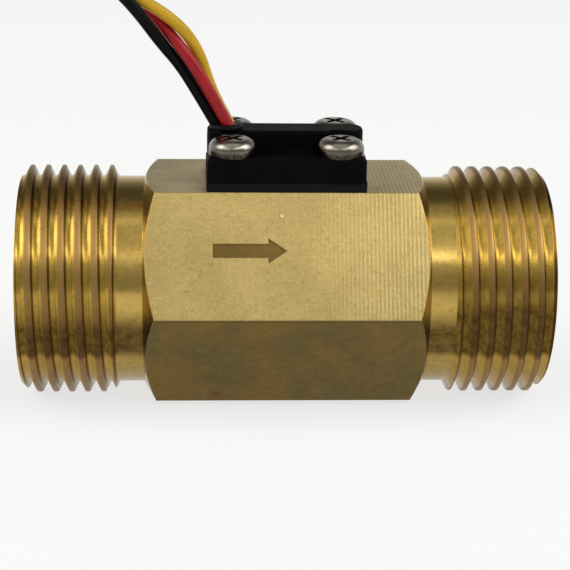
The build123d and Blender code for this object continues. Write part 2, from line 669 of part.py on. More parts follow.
plug = Pos(CONNECTOR_X, CONNECTOR_Y, 0) * Box(
    CONNECTOR_WIDTH,
    CONNECTOR_LENGTH,
    CONNECTOR_HEIGHT,
    align=(Align.CENTER, Align.MIN, Align.MIN),
)
plug = chamfer(plug.edges().filter_by(Axis.Y), CONNECTOR_EDGE)
latch_y = CONNECTOR_Y + CONNECTOR_LENGTH - LATCH_LENGTH
latch = Pos(CONNECTOR_X, latch_y, CONNECTOR_HEIGHT) * Box(
    LATCH_WIDTH,
    LATCH_LENGTH,
    LATCH_HEIGHT,
    align=(Align.CENTER, Align.MIN, Align.MIN),
)
plug += chamfer(latch.edges().group_by(Axis.Z)[-1].sort_by(Axis.Y)[-1], LATCH_HEIGHT * 0.8)
terminal_y = wire_end_y
terminals = []
for way in (-1, 0, 1):
    way_x = CONNECTOR_X + way * CONNECTOR_PITCH
    cavity = Pos(way_x, terminal_y, CONNECTOR_CAVITY_Z) * Box(
        CONNECTOR_CAVITY,
        CONNECTOR_LENGTH,
        CONNECTOR_CAVITY,
        align=(Align.CENTER, Align.MIN, Align.CENTER),
    )
    plug -= cavity
    entry = Pos(way_x, CONNECTOR_Y, CONNECTOR_CAVITY_Z) * Rot(-90, 0, 0) * Cylinder(
        WIRE_DIAMETER / 2 + 0.1,
        CONNECTOR_WIRE_ENTRY,
        align=(Align.CENTER, Align.CENTER, Align.MIN),
    )
    plug -= entry
    shell = Pos(way_x, terminal_y, CONNECTOR_CAVITY_Z) * Box(
        CONNECTOR_CAVITY,
        TERMINAL_LENGTH,
        CONNECTOR_CAVITY,
        align=(Align.CENTER, Align.MIN, Align.CENTER),
    )
    inside = CONNECTOR_CAVITY - 2 * TERMINAL_WALL
    shell -= Pos(way_x, terminal_y + TERMINAL_LENGTH / 3, CONNECTOR_CAVITY_Z) * Box(
        inside,
        TERMINAL_LENGTH,
        inside,
        align=(Align.CENTER, Align.MIN, Align.CENTER),
    )
    terminals.append(shell)
save_on_floor(plug, "connector_housing")
save_on_floor(Compound(children=terminals), "connector_terminals")
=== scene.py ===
# Water flow sensor: brass body with pipe threads, black sensor cap, three wires to a connector.
#
# Metres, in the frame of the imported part: X is the flow axis, +Z is up through the cap, and the
# sensor lies on z = 0. The front, with the flow arrow, is the -Y side.
#
# Order of this file: frame, sizes, materials (brass, plastics, plated and ground metals, wire
# insulation), body, wires, floor, studio, lamps and camera.

import math

import bpy
from mathutils import Matrix, Vector


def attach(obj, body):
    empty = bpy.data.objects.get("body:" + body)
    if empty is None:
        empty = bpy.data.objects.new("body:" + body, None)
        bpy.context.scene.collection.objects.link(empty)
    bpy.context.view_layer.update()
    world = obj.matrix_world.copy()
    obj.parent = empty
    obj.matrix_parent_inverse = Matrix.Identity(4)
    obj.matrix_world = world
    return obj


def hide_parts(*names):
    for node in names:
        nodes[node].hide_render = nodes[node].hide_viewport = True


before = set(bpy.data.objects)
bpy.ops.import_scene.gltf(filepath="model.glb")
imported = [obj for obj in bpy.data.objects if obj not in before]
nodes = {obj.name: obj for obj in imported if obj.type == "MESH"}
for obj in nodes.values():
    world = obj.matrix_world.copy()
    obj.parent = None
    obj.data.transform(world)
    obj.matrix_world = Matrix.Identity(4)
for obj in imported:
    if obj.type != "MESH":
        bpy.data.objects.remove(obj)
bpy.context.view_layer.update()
MM = 0.001

# Sizes of the part that the looks depend on, in millimetres. Heights are above the flow axis.
AXIS = 16.6245
LEDGE = 20.3
CAP_TOP = 22.9
SOLDER_PADS = 18.7
HEX_HALF_LENGTH = 20.1
HEX_END_CHAMFER = 1.75
HEX_FLAT = 15.7
THREAD_FROM = 23.75
BORE_REACH = 13.6
ARROW_DEPTH = 0.15
WIRE_DIAMETER = 1.7


def at_height(height):
    """The scene's Z of a height in mm above the flow axis."""
    return (AXIS + height) * MM


# Node trees

EDGE_SAMPLES = 6  # rays that the rounding of an edge takes


def srgb(code):
    """A colour written as #rrggbb, as the linear values that a shader takes."""
    parts = [int(code[i:i + 2], 16) / 255 for i in (1, 3, 5)]
    linear = [c / 12.92 if c <= 0.04045 else ((c + 0.055) / 1.055) ** 2.4 for c in parts]
    return (*linear, 1.0)


def add(tree, kind, inputs=None, **settings):
    """Add a node and give back its outputs. An input is a socket to link or a value to set."""
    made = tree.nodes.new("ShaderNode" + kind)
    for name, value in settings.items():
        setattr(made, name, value)
    for name, value in (inputs or {}).items():
        if isinstance(value, bpy.types.NodeSocket):
            tree.links.new(value, made.inputs[name])
        else:
            made.inputs[name].default_value = value
    return made.outputs


def empty_material(name):
    """A new material whose node tree is empty."""
    material = bpy.data.materials.new(name)
    material.use_nodes = True
    material.node_tree.nodes.clear()
    return material


def seen_directly(tree):
    """1 for what the camera, a reflection or a look through glass sees, and 0 for plain light."""
    rays = add(tree, "LightPath")
    seen = rays["Is Camera Ray"]
    for kind in ("Is Glossy Ray", "Is Transmission Ray"):
        seen = add(tree, "Math", {0: seen, 1: rays[kind]}, operation="MAXIMUM")[0]
    return seen


# Machined brass
#
# Free-cutting brass bar. The flats are milled, so they are satin with straight feed lines. The
# necks and threads are turned, so they are brighter and streak light along the turning lines.
# Age leaves cloudy tarnish. Lower down the colour is darkened towards the tarnish colour as a
# painted shade, and on all but the flats a paler band is painted at the very bottom.

# Sizes of its patterns in mm. The feed lines are as far apart as the photograph shows them. The
# lathe's turning lines are finer than the picture can show, and so drawn about twice as coarse.
CLOUD_SIZE = 7.0
BLOTCH_SIZE = 1.6
MOTTLE_SIZE = 0.55
GRAIN_SIZE = 0.3
STAIN_SIZE = 1.3
PATCH_SIZE = 6.0
FEED_STEP = 0.58
TURNING_STEP = 0.22
TOOL_MARK_DEPTH = 0.004

# Colours of its marks and of its painted shade, and how strongly a feed line shows
FEED_LINE_SHARE = 0.42
BRIGHT_GRAIN = "#DDC88C"
FEED_LINE_CREST = "#F0DC9C"
FRESH_NICK = "#FBE9A8"
DARK_SCAB = "#2C1F0E"
# Greenish tarnish that mottles the painted shade of the lower flat
GREENISH_TARNISH_IN_SHADE = "#504623"
CORNER_DARK_LINE = "#33240D"
DULL_CREST = "#9A7650"
# The dark of a painted shade in the crease of the thread's flank facing +X
CREASE_SHADE = "#3F2B12"


def near(tree, place, spot, outer, inner):
    """1 within a radius of a spot of the body, in mm from the middle of the axis, and 0 outside."""
    centre = (spot[0] * MM, spot[1] * MM, at_height(spot[2]))
    away = add(tree, "VectorMath", {0: place, 1: centre}, operation="DISTANCE")["Value"]
    return add(tree, "MapRange", {0: away, 1: outer * MM, 2: inner * MM})[0]


def feed_lines(tree, place, blotches):
    """The milling cutter's lines across a flat: strong towards the outlet, faint below."""
    x, _, z = add(tree, "SeparateXYZ", {0: place})
    wave = add(tree, "TexWave", {
        "Vector": place,
        "Scale": 2 * math.pi / (20 * FEED_STEP * MM),
        "Distortion": 1.2,
        "Detail": 3.0,
        "Detail Scale": 2.0,
        "Detail Roughness": 0.7,
    }, wave_type="BANDS", bands_direction="X")[1]
    sharp = add(tree, "Math", {0: wave, 1: 2.5}, operation="POWER")[0]
    outlet = add(tree, "MapRange", {0: x, 1: 3 * MM, 2: 14 * MM, 3: 0.06, 4: 1.0})[0]
    broken = add(tree, "MapRange", {0: blotches, 1: 0.35, 2: 0.6, 3: 0.3, 4: 1.0})[0]
    upper = add(tree, "MapRange", {0: z, 1: at_height(-1), 2: at_height(1), 3: 0.1, 4: 1.0})[0]
    where = add(tree, "Math", {0: outlet, 1: broken}, operation="MULTIPLY")[0]
    where = add(tree, "Math", {0: where, 1: upper}, operation="MULTIPLY")[0]
    return add(tree, "Math", {0: sharp, 1: where}, operation="MULTIPLY")[0]


def nicks(tree, place, grain):
    """Two small knocks near the upper edge of the front flat."""
    first = near(tree, place, (-0.8, -10.8, 12.8), 0.42, 0.1)
    second = near(tree, place, (8.9, -9.6, 14.7), 0.24, 0.08)
    both = add(tree, "Math", {0: first, 1: second}, operation="MAXIMUM")[0]
    ragged = add(tree, "MapRange", {0: grain, 1: 0.42, 2: 0.52})[0]
    return add(tree, "Math", {0: both, 1: ragged}, operation="MULTIPLY")[0]


def corner_dark_line(tree, place):
    """A thin dark line under the corner between the upper and the lower flat."""
    z = add(tree, "SeparateXYZ", {0: place})[2]
    start = add(tree, "MapRange", {0: z, 1: at_height(0.02), 2: at_height(-0.12)})[0]
    end = add(tree, "MapRange", {0: z, 1: at_height(-0.45), 2: at_height(-0.2)})[0]
    return add(tree, "Math", {0: start, 1: end}, operation="MULTIPLY")[0]


def thread_wear(tree, place):
    """Where the thread's crests are dull, from wear and on the side facing +X also from painted
    shade, and where a painted shade darkens the crease of the flank facing +X.

    The crests reach a radius of 16.62 mm, and the roots lie at 15.15 mm.
    """
    _, y, z = add(tree, "SeparateXYZ", {0: place})
    off_axis = add(tree, "Math", {0: z, 1: at_height(0)}, operation="SUBTRACT")[0]
    y_square = add(tree, "Math", {0: y, 1: y}, operation="MULTIPLY")[0]
    z_square = add(tree, "Math", {0: off_axis, 1: off_axis}, operation="MULTIPLY")[0]
    square = add(tree, "Math", {0: y_square, 1: z_square}, operation="ADD")[0]
    radius = add(tree, "Math", {0: square}, operation="SQRT")[0]
    facing = add(tree, "SeparateXYZ", {0: add(tree, "NewGeometry")["True Normal"]})[0]
    flank = add(tree, "MapRange", {0: facing, 1: 0.3, 2: 0.7})[0]
    top = add(tree, "MapRange", {0: radius, 1: 16.1 * MM, 2: 16.35 * MM})[0]
    # The crests are dull from wear; on the flank facing +X the dull colour reaches further down, as
    # painted shade on that side
    shoulder = add(tree, "MapRange", {0: radius, 1: 16.0 * MM, 2: 16.2 * MM})[0]
    shoulder = add(tree, "Math", {0: flank, 1: shoulder}, operation="MULTIPLY")[0]
    crest = add(tree, "Math", {0: top, 1: shoulder}, operation="MAXIMUM")[0]
    # Painted shade in the crease of the flank facing +X
    under = add(tree, "MapRange", {0: radius, 1: 16.15 * MM, 2: 15.95 * MM})[0]
    over = add(tree, "MapRange", {0: radius, 1: 15.4 * MM, 2: 15.6 * MM})[0]
    shaded_crease = add(tree, "Math", {0: under, 1: over}, operation="MULTIPLY")[0]
    shaded_crease = add(tree, "Math", {0: flank, 1: shaded_crease}, operation="MULTIPLY")[0]
    return crest, shaded_crease


def rolled_crests(tree, place, normal):
    """The thread's normal leant outwards, which rounds its crests and roots to the eye."""
    _, y, z = add(tree, "SeparateXYZ", {0: place})
    off_axis = add(tree, "Math", {0: z, 1: at_height(0)}, operation="SUBTRACT")[0]
    outward = add(tree, "CombineXYZ", {0: 0.0, 1: y, 2: off_axis})[0]
    outward = add(tree, "VectorMath", {0: outward}, operation="NORMALIZE")[0]
    outward = add(tree, "VectorMath", {0: outward, 1: (2.2, 2.2, 2.2)}, operation="MULTIPLY")[0]
    leant = add(tree, "VectorMath", {0: normal, 1: outward}, operation="ADD")[0]
    return add(tree, "VectorMath", {0: leant}, operation="NORMALIZE")[0]


def machined_brass(name, light, dark, tarnish_and_shade, rough, speck=0.35, edge=0.22, cut="turned"):
    """Brass by how it was cut: milled, turned or threaded. The edge's rounding is in mm."""
    milled, threaded = cut == "milled", cut == "threaded"
    material = empty_material(name)
    tree = material.node_tree
    place = add(tree, "TexCoord")["Object"]
    x, _, z = add(tree, "SeparateXYZ", {0: place})

    # Patterns, from broad clouds to fine grain
    clouds = add(tree, "TexNoise", {
        "Vector": place, "Scale": 1 / (CLOUD_SIZE * MM), "Detail": 5, "Roughness": 0.62})[0]
    around = add(tree, "Mapping", {"Vector": place, "Scale": (1.0, 1.3, 1.3)})[0]
    blotches = add(tree, "TexNoise", {
        "Vector": around, "Scale": 1 / (BLOTCH_SIZE * MM), "Detail": 5, "Roughness": 0.7})[0]
    along = add(tree, "Mapping", {"Vector": place, "Scale": (0.7, 1.0, 1.0)})[0]
    mottle = add(tree, "TexNoise", {
        "Vector": along, "Scale": 1 / (MOTTLE_SIZE * MM), "Detail": 4, "Roughness": 0.75})[0]
    grain = add(tree, "TexNoise", {
        "Vector": place, "Scale": 1 / (GRAIN_SIZE * MM), "Detail": 3, "Roughness": 0.65})[0]
    stains = add(tree, "TexNoise", {
        "Vector": place, "Scale": 1 / (STAIN_SIZE * MM), "Detail": 5, "Roughness": 0.72})[0]
    rings = add(tree, "Mapping", {"Vector": place, "Scale": (1, 0.02, 0.02)})[0]
    turning = add(tree, "TexNoise", {
        "Vector": rings, "Scale": 1 / (TURNING_STEP * MM), "Detail": 2, "Roughness": 0.6})[0]

    # Clean metal, clouded by age
    colour = srgb(light)
    for pattern, low, high, share, other in (
        (clouds, 0.35, 0.7, 0.45, dark),
        (blotches, 0.45, 0.7, 0.4, dark),
        (mottle, 0.52, 0.7, speck, tarnish_and_shade),
        (grain, 0.52, 0.7, speck, BRIGHT_GRAIN),
    ):
        part = add(tree, "MapRange", {0: pattern, 1: low, 2: high, 3: 0.0, 4: share})[0]
        colour = add(tree, "Mix", {0: part, 6: colour, 7: srgb(other)}, data_type="RGBA")[2]

    # Tool marks, and a roughness that the clouds vary
    fine = add(tree, "Math", {0: grain, 1: 0.6}, operation="MULTIPLY")[0]
    height = add(tree, "Math", {0: turning, 1: fine}, operation="ADD")[0]
    fine = add(tree, "Math", {0: grain, 1: 0.4}, operation="MULTIPLY")[0]
    uneven = add(tree, "Math", {0: clouds, 1: fine}, operation="ADD")[0]
    roughness = add(tree, "MapRange", {
        0: uneven, 1: 0.4, 2: 0.95, 3: rough - 0.06, 4: rough + 0.12})[0]
    normal = add(tree, "Bevel", {"Radius": edge * MM}, samples=EDGE_SAMPLES)[0]

    # Painted shade: how far down the colour darkens towards the tarnish colour, and that colour
    low_shade_colour = srgb(tarnish_and_shade)
    if milled:
        low = add(tree, "MapRange", {0: z, 1: at_height(0.05), 2: at_height(-0.35)})[0]
        # On the flats the painted shade is mottled with greenish tarnish
        patch_place = add(tree, "Mapping", {"Vector": place, "Scale": (1.0, 0.8, 0.8)})[0]
        patches = add(tree, "TexNoise", {
            "Vector": patch_place, "Scale": 1 / (PATCH_SIZE * MM), "Detail": 4,
            "Roughness": 0.55})[0]
        green = add(tree, "MapRange", {0: patches, 1: 0.4, 2: 0.62})[0]
        low_shade_colour = add(tree, "Mix", {0: green, 6: low_shade_colour, 7: srgb(GREENISH_TARNISH_IN_SHADE)},
                    data_type="RGBA")[2]
    elif threaded:
        # On the threads the painted shade reaches up to 3 mm higher towards +X
        lift = add(tree, "MapRange", {0: x, 1: 0.0, 2: 30 * MM, 3: 0.0, 4: 3 * MM})[0]
        lifted = add(tree, "Math", {0: z, 1: lift}, operation="SUBTRACT")[0]
        low = add(tree, "MapRange", {0: lifted, 1: at_height(3.5), 2: at_height(-2.5)})[0]
    else:
        low = add(tree, "MapRange", {0: z, 1: at_height(0.5), 2: at_height(-2.5)})[0]
    if not milled:
        # About 7 mm under the axis the painted shade eases off: a paler band, a painted reflection
        paler_bottom = add(tree, "MapRange", {
            0: z, 1: at_height(-7.3), 2: at_height(-6.3), 3: 0.42, 4: 1.0})[0]
        low = add(tree, "Math", {0: low, 1: paler_bottom}, operation="MULTIPLY")[0]

    # What the cutter and knocks left on the flats
    if milled:
        lines = feed_lines(tree, place, blotches)
        bright = add(tree, "Math", {0: lines, 1: FEED_LINE_SHARE}, operation="MULTIPLY")[0]
        colour = add(tree, "Mix", {0: bright, 6: colour, 7: srgb(FEED_LINE_CREST)},
                     data_type="RGBA")[2]
        raised = add(tree, "Math", {0: lines, 1: 2.5}, operation="MULTIPLY")[0]
        height = add(tree, "Math", {0: height, 1: raised}, operation="ADD")[0]
        knocks = nicks(tree, place, grain)
        raised = add(tree, "Math", {0: knocks, 1: 8.0}, operation="MULTIPLY")[0]
        height = add(tree, "Math", {0: height, 1: raised}, operation="ADD")[0]
        bright = add(tree, "Math", {0: knocks, 1: 0.8}, operation="MULTIPLY")[0]
        colour = add(tree, "Mix", {0: bright, 6: colour, 7: srgb(FRESH_NICK)},
                     data_type="RGBA")[2]
        scab = near(tree, place, (-9.9, -9.9, -14.3), 1.1, 0.4)
        scab = add(tree, "Math", {0: scab, 1: 0.7}, operation="MULTIPLY")[0]
        colour = add(tree, "Mix", {0: scab, 6: colour, 7: srgb(DARK_SCAB)},
                     data_type="RGBA")[2]

    # Dull crests of the threads, and painted shade in the crease of the flank facing +X
    if threaded:
        crest, shaded_crease = thread_wear(tree, place)
        dull = add(tree, "Math", {0: crest, 1: 0.7}, operation="MULTIPLY")[0]
        colour = add(tree, "Mix", {0: dull, 6: colour, 7: srgb(DULL_CREST)}, data_type="RGBA")[2]
        darkening = add(tree, "Math", {0: shaded_crease, 1: 0.85}, operation="MULTIPLY")[0]
        colour = add(tree, "Mix", {0: darkening, 6: colour, 7: srgb(CREASE_SHADE)}, data_type="RGBA")[2]
        rougher = add(tree, "Math", {0: crest, 1: 0.2}, operation="MULTIPLY")[0]
        roughness = add(tree, "Math", {0: roughness, 1: rougher}, operation="ADD")[0]
        normal = rolled_crests(tree, place, normal)

    # Painted shade below, a thin dark line under the corner of the flats, and stains
    # The painted shade below, mottled by the blotches
    share = add(tree, "MapRange", {
        0: blotches, 1: 0.3, 2: 0.65, 3: 0.9 if milled else 0.78, 4: 1.0})[0]
    shade_below = add(tree, "Math", {0: low, 1: share}, operation="MULTIPLY")[0]
    shade_below = add(tree, "Math", {0: shade_below, 1: 0.9}, operation="MULTIPLY")[0]
    colour = add(tree, "Mix", {0: shade_below, 6: colour, 7: low_shade_colour}, data_type="RGBA")[2]
    if milled:
        darkening = add(tree, "Math", {0: corner_dark_line(tree, place), 1: 0.7}, operation="MULTIPLY")[0]
        colour = add(tree, "Mix", {0: darkening, 6: colour, 7: srgb(CORNER_DARK_LINE)}, data_type="RGBA")[2]
    stains = add(tree, "MapRange", {0: stains, 1: 0.62, 2: 0.72})[0]
    stains = add(tree, "Math", {0: stains, 1: 0.3}, operation="MULTIPLY")[0]
    colour = add(tree, "Mix", {0: stains, 6: colour, 7: srgb(tarnish_and_shade)}, data_type="RGBA")[2]

    normal = add(tree, "Bump", {
        "Height": height, "Strength": 1.0, "Distance": TOOL_MARK_DEPTH * MM, "Normal": normal})[0]
    surface = add(tree, "BsdfPrincipled", {
        "Base Color": colour,
        "Metallic": 1.0,
        "Roughness": roughness,
        "Anisotropic": 0.6,
        "Anisotropic Rotation": 0.25,
        "Normal": normal,
        "Tangent": add(tree, "Tangent", direction_type="RADIAL", axis="X")[0],
    })[0]
    add(tree, "OutputMaterial", {0: surface})
    return material


# Plastics, resins and rubber. Their refractive indices all lie within 0.05 of this one, apart
# from silicone's 1.41, and the gloss of each piece is matched by its specular level.

PLASTIC_IOR = 1.5
PLASTIC_CLOUD_SIZE = 3.0


def moulded_plastic(name, colour, worn, rough, grain_size, grain_depth, edge=0.15, gloss=0.5):
    """Plastic from a mould: fine grain, a little cloudiness and soft edges. Sizes are in mm."""
    material = empty_material(name)
    tree = material.node_tree
    place = add(tree, "TexCoord")["Object"]
    clouds = add(tree, "TexNoise", {
        "Vector": place, "Scale": 1 / (PLASTIC_CLOUD_SIZE * MM), "Detail": 4,
        "Roughness": 0.6})[0]
    grain = add(tree, "TexNoise", {
        "Vector": place, "Scale": 1 / (grain_size * MM), "Detail": 3, "Roughness": 0.6})[0]
    cloudy = add(tree, "MapRange", {0: clouds, 1: 0.35, 2: 0.75})[0]
    tone = add(tree, "Mix", {0: cloudy, 6: srgb(colour), 7: srgb(worn)}, data_type="RGBA")[2]
    roughness = add(tree, "MapRange", {
        0: clouds, 1: 0.3, 2: 0.7, 3: rough - 0.05, 4: rough + 0.08})[0]
    rounded = add(tree, "Bevel", {"Radius": edge * MM}, samples=EDGE_SAMPLES)[0]
    normal = add(tree, "Bump", {
        "Height": grain, "Strength": 1.0, "Distance": grain_depth * MM, "Normal": rounded})[0]
    surface = add(tree, "BsdfPrincipled", {
        "Base Color": tone,
        "Roughness": roughness,
        "IOR": PLASTIC_IOR,
        "Specular IOR Level": gloss,
        "Normal": normal,
    })[0]
    add(tree, "OutputMaterial", {0: surface})
    return material


# Plated and ground metals, with fine marks that lie across the Y axis

METAL_CLOUD_SIZE = 1.8
# Painted shade low on a part: the size of its noise and its colour
SHADE_BREAKUP_SIZE = 0.4
METAL_SHADE = "#2B2721"


def finished_metal(name, colour, stained, rough, mark_size, mark_depth, edge=0.1, shade_band=None):
    """Plated or ground metal with fine marks and stains, and painted shade up to a height. Sizes in
    mm.
    """
    material = empty_material(name)
    tree = material.node_tree
    place = add(tree, "TexCoord")["Object"]
    clouds = add(tree, "TexNoise", {
        "Vector": place, "Scale": 1 / (METAL_CLOUD_SIZE * MM), "Detail": 4,
        "Roughness": 0.6})[0]
    rubbed = add(tree, "Mapping", {"Vector": place, "Scale": (1, 6, 1)})[0]
    scratches = add(tree, "TexNoise", {
        "Vector": rubbed, "Scale": 1 / (mark_size * MM), "Detail": 3, "Roughness": 0.7})[0]
    cloudy = add(tree, "MapRange", {0: clouds, 1: 0.4, 2: 0.8})[0]
    tone = add(tree, "Mix", {0: cloudy, 6: srgb(colour), 7: srgb(stained)}, data_type="RGBA")[2]
    # Painted shade: below a height the colour darkens to a dark grey, broken up by fine noise
    if shade_band:
        z = add(tree, "SeparateXYZ", {0: place})[2]
        fine = add(tree, "TexNoise", {
            "Vector": place, "Scale": 1 / (SHADE_BREAKUP_SIZE * MM), "Detail": 4, "Roughness": 0.7})[0]
        full, none = shade_band
        below = add(tree, "MapRange", {0: z, 1: at_height(none), 2: at_height(full)})[0]
        broken = add(tree, "MapRange", {0: fine, 1: 0.3, 2: 0.6, 3: 0.7, 4: 1.0})[0]
        dirty = add(tree, "Math", {0: below, 1: broken}, operation="MULTIPLY")[0]
        tone = add(tree, "Mix", {0: dirty, 6: tone, 7: srgb(METAL_SHADE)}, data_type="RGBA")[2]
    roughness = add(tree, "MapRange", {
        0: clouds, 1: 0.3, 2: 0.8, 3: rough - 0.04, 4: rough + 0.12})[0]
    rounded = add(tree, "Bevel", {"Radius": edge * MM}, samples=EDGE_SAMPLES)[0]
    normal = add(tree, "Bump", {
        "Height": scratches, "Strength": 1.0, "Distance": mark_depth * MM, "Normal": rounded})[0]
    surface = add(tree, "BsdfPrincipled", {
        "Base Color": tone, "Metallic": 1.0, "Roughness": roughness, "Normal": normal})[0]
    add(tree, "OutputMaterial", {0: surface})
    return material


# Wire insulation

HANDLED_SIZE = 4.0
WAVE_SIZE = 0.5
WAVE_DEPTH = 0.01


def extruded_insulation(name, colour, dirty, gloss=0.5):
    """PVC extruded round the wire: smooth and softly shining, slightly wavy, dirty from hands."""
    material = empty_material(name)
    tree = material.node_tree
    place = add(tree, "TexCoord")["Object"]
    clouds = add(tree, "TexNoise", {
        "Vector": place, "Scale": 1 / (HANDLED_SIZE * MM), "Detail": 3, "Roughness": 0.6})[0]
    waves = add(tree, "TexNoise", {
        "Vector": place, "Scale": 1 / (WAVE_SIZE * MM), "Detail": 3, "Roughness": 0.6})[0]
    handled = add(tree, "MapRange", {0: clouds, 1: 0.45, 2: 0.8, 3: 0.0, 4: 0.6})[0]
    tone = add(tree, "Mix", {0: handled, 6: srgb(colour), 7: srgb(dirty)}, data_type="RGBA")[2]
    roughness = add(tree, "MapRange", {0: waves, 1: 0.3, 2: 0.7, 3: 0.26, 4: 0.38})[0]
    normal = add(tree, "Bump", {
        "Height": waves, "Strength": 1.0, "Distance": WAVE_DEPTH * MM})[0]
    surface = add(tree, "BsdfPrincipled", {
        "Base Color": tone,
        "Roughness": roughness,
        "IOR": PLASTIC_IOR,
        "Specular IOR Level": gloss,
        "Normal": normal,
    })[0]
    add(tree, "OutputMaterial", {0: surface})
    return material


# Milled flats: satin and pale yellow, with a brown shade painted on the lower flat. Turned necks
# and threads: deeper gold, with bright streaks and a near-black shade painted below. Bore: dull.
# Engraved arrow: matt and dark.
FLATS = machined_brass("brass_milled_flats", "#B29B62", "#9F8850", "#644A1D", 0.36, cut="milled")
TURNED = machined_brass("brass_turned_necks", "#C8A95A", "#AC8A44", "#2E1D0B", 0.22, speck=0.2)
THREAD = machined_brass("brass_cut_thread", "#CBA548", "#A88236", "#301B0A", 0.21, speck=0.2,
                        edge=0.35, cut="threaded")
BORE = machined_brass("brass_bored", "#A8863F", "#86672C", "#5E4822", 0.34)
ARROW = machined_brass("brass_engraved_arrow", "#7A6335", "#6C562C", "#5E4A28", 0.55, speck=0.08)

# ABS cap: black and almost matt, with the mould's fine grain
CAP_ABS = moulded_plastic("abs_moulded_cap", "#070707", "#0C0C0C", 0.5, 0.25, 0.006, 0.2, 0.03)
# Acetal guides, nylon rotor and turned acetal bushes: milky white, smooth, with a waxy shine
GUIDE_ACETAL = moulded_plastic("acetal_moulded_guide", "#DCD9CF", "#C9C5B8", 0.42, 0.4, 0.008)
ROTOR_NYLON = moulded_plastic("nylon_moulded_rotor", "#D6D2C6", "#BFBAAC", 0.38, 0.4, 0.008)
BUSH_ACETAL = moulded_plastic("acetal_turned_bush", "#C9C2AE", "#B5AD97", 0.35, 0.3, 0.005)
# Rubber pad cut from sheet: black, dusty and matt
PAD_RUBBER = moulded_plastic("rubber_cut_pad", "#111010", "#191817", 0.75, 0.2, 0.02, 0.15, 0.1)
# Glass-epoxy board under green solder mask, moulded epoxy chips, and glossy cast resin
BOARD_EPOXY = moulded_plastic("epoxy_board_mask", "#2E5A3A", "#274E33", 0.3, 0.3, 0.004)
CHIP_EPOXY = moulded_plastic("epoxy_moulded_chip", "#1D1D1E", "#2A2A2B", 0.55, 0.15, 0.006)
POTTING_EPOXY = moulded_plastic("epoxy_cast_potting", "#26262A", "#303034", 0.18, 1.5, 0.02)
# Silicone bead: black, lumpy and softly shining
SEAL_SILICONE = moulded_plastic("silicone_bead", "#090909", "#101010", 0.4, 0.8, 0.05, 0.15, 0.12)
# Nylon connector: ivory, slightly translucent to the eye, smooth
CONNECTOR_NYLON = moulded_plastic("nylon_moulded_connector", "#E2DED2", "#D3CEBF", 0.4, 0.35, 0.008)

# Nickel-plated screws: a warm mirror, with a painted shade darkening the heads low down, where they
# meet the cap
SCREW_NICKEL = finished_metal("nickel_plated_screw", "#9E978A", "#6F685C", 0.17, 0.25, 0.012,
                              shade_band=(LEDGE + 0.5, LEDGE + 1.7))
# Ground stainless steel, plated magnets and tinned terminals: grey, cleaner and duller
STEEL = finished_metal("steel_ground", "#B4B3AF", "#93918C", 0.3, 0.3, 0.006)
MAGNET_NICKEL = finished_metal("nickel_plated_magnet", "#A6A6A4", "#8C8C8A", 0.22, 0.4, 0.004)
TERMINAL_TIN = finished_metal("tin_plated_terminal", "#C2C0B8", "#A3A198", 0.3, 0.3, 0.006)

RED = extruded_insulation("pvc_red_insulation", "#A3121C", "#8A1016", 0.3)
YELLOW = extruded_insulation("pvc_yellow_insulation", "#CBA01A", "#B58D18", 0.3)
BLACK = extruded_insulation("pvc_black_insulation", "#080808", "#0E0E0E", 0.08)

PIECE_MATERIALS = {
    "body": FLATS,
    "inlet_guide": GUIDE_ACETAL,
    "outlet_guide": GUIDE_ACETAL,
    "inlet_bush": BUSH_ACETAL,
    "outlet_bush": BUSH_ACETAL,
    "inlet_thrust_washer": STEEL,
    "outlet_thrust_washer": STEEL,
    "inlet_retaining_ring": STEEL,
    "outlet_retaining_ring": STEEL,
    "rotor": ROTOR_NYLON,
    "rotor_magnets": MAGNET_NICKEL,
    "rotor_shaft": STEEL,
    "seal_pad": PAD_RUBBER,
    "sensor_housing": CAP_ABS,
    "housing_screws": SCREW_NICKEL,
    "circuit_board": BOARD_EPOXY,
    "hall_sensor": CHIP_EPOXY,
    "resistor": CHIP_EPOXY,
    "capacitor": CHIP_EPOXY,
    "potting": POTTING_EPOXY,
    "wire_seal": SEAL_SILICONE,
    "connector_housing": CONNECTOR_NYLON,
    "connector_terminals": TERMINAL_TIN,
}
for name, material in PIECE_MATERIALS.items():
    mesh = nodes[name].data
    mesh.materials.clear()
    mesh.materials.append(material)

# Smooth shading on the curved faces of every piece, sharp where faces meet at an angle
SHARP_ANGLE = math.radians(28)
for piece in nodes.values():
    piece.data.shade_smooth()
    piece.data.set_sharp_from_angle(angle=SHARP_ANGLE)


# Body: its faces by the way they were machined

body = nodes["body"].data
FLAT_SLOT, TURNED_SLOT, THREAD_SLOT, BORE_SLOT, ARROW_SLOT = range(5)
for material in (TURNED, THREAD, BORE, ARROW):
    body.materials.append(material)
flat_ways = [
    Vector((0, math.sin(math.radians(60 * side)), math.cos(math.radians(60 * side))))
    for side in range(6)
]
for face in body.polygons:
    middle = face.center - Vector((0, 0, at_height(0)))
    radius = math.hypot(middle.y, middle.z)
    inwards = middle.y * face.normal.y + middle.z * face.normal.z < 0
    height = max(middle.dot(way) for way in flat_ways)
    past_chamfer = abs(middle.x) > (HEX_HALF_LENGTH - HEX_END_CHAMFER) * MM
    below_flat = HEX_FLAT * MM - height
    if inwards and radius < BORE_REACH * MM:
        face.material_index = BORE_SLOT
    elif abs(middle.x) > THREAD_FROM * MM:
        face.material_index = THREAD_SLOT
    elif past_chamfer and below_flat > 0.01 * MM:
        face.material_index = TURNED_SLOT
    elif 0.5 * ARROW_DEPTH * MM < below_flat < 1.2 * ARROW_DEPTH * MM and middle.y < 0:
        face.material_index = ARROW_SLOT


# Wires: limp stranded leads. The route's points are in millimetres in the part's frame.

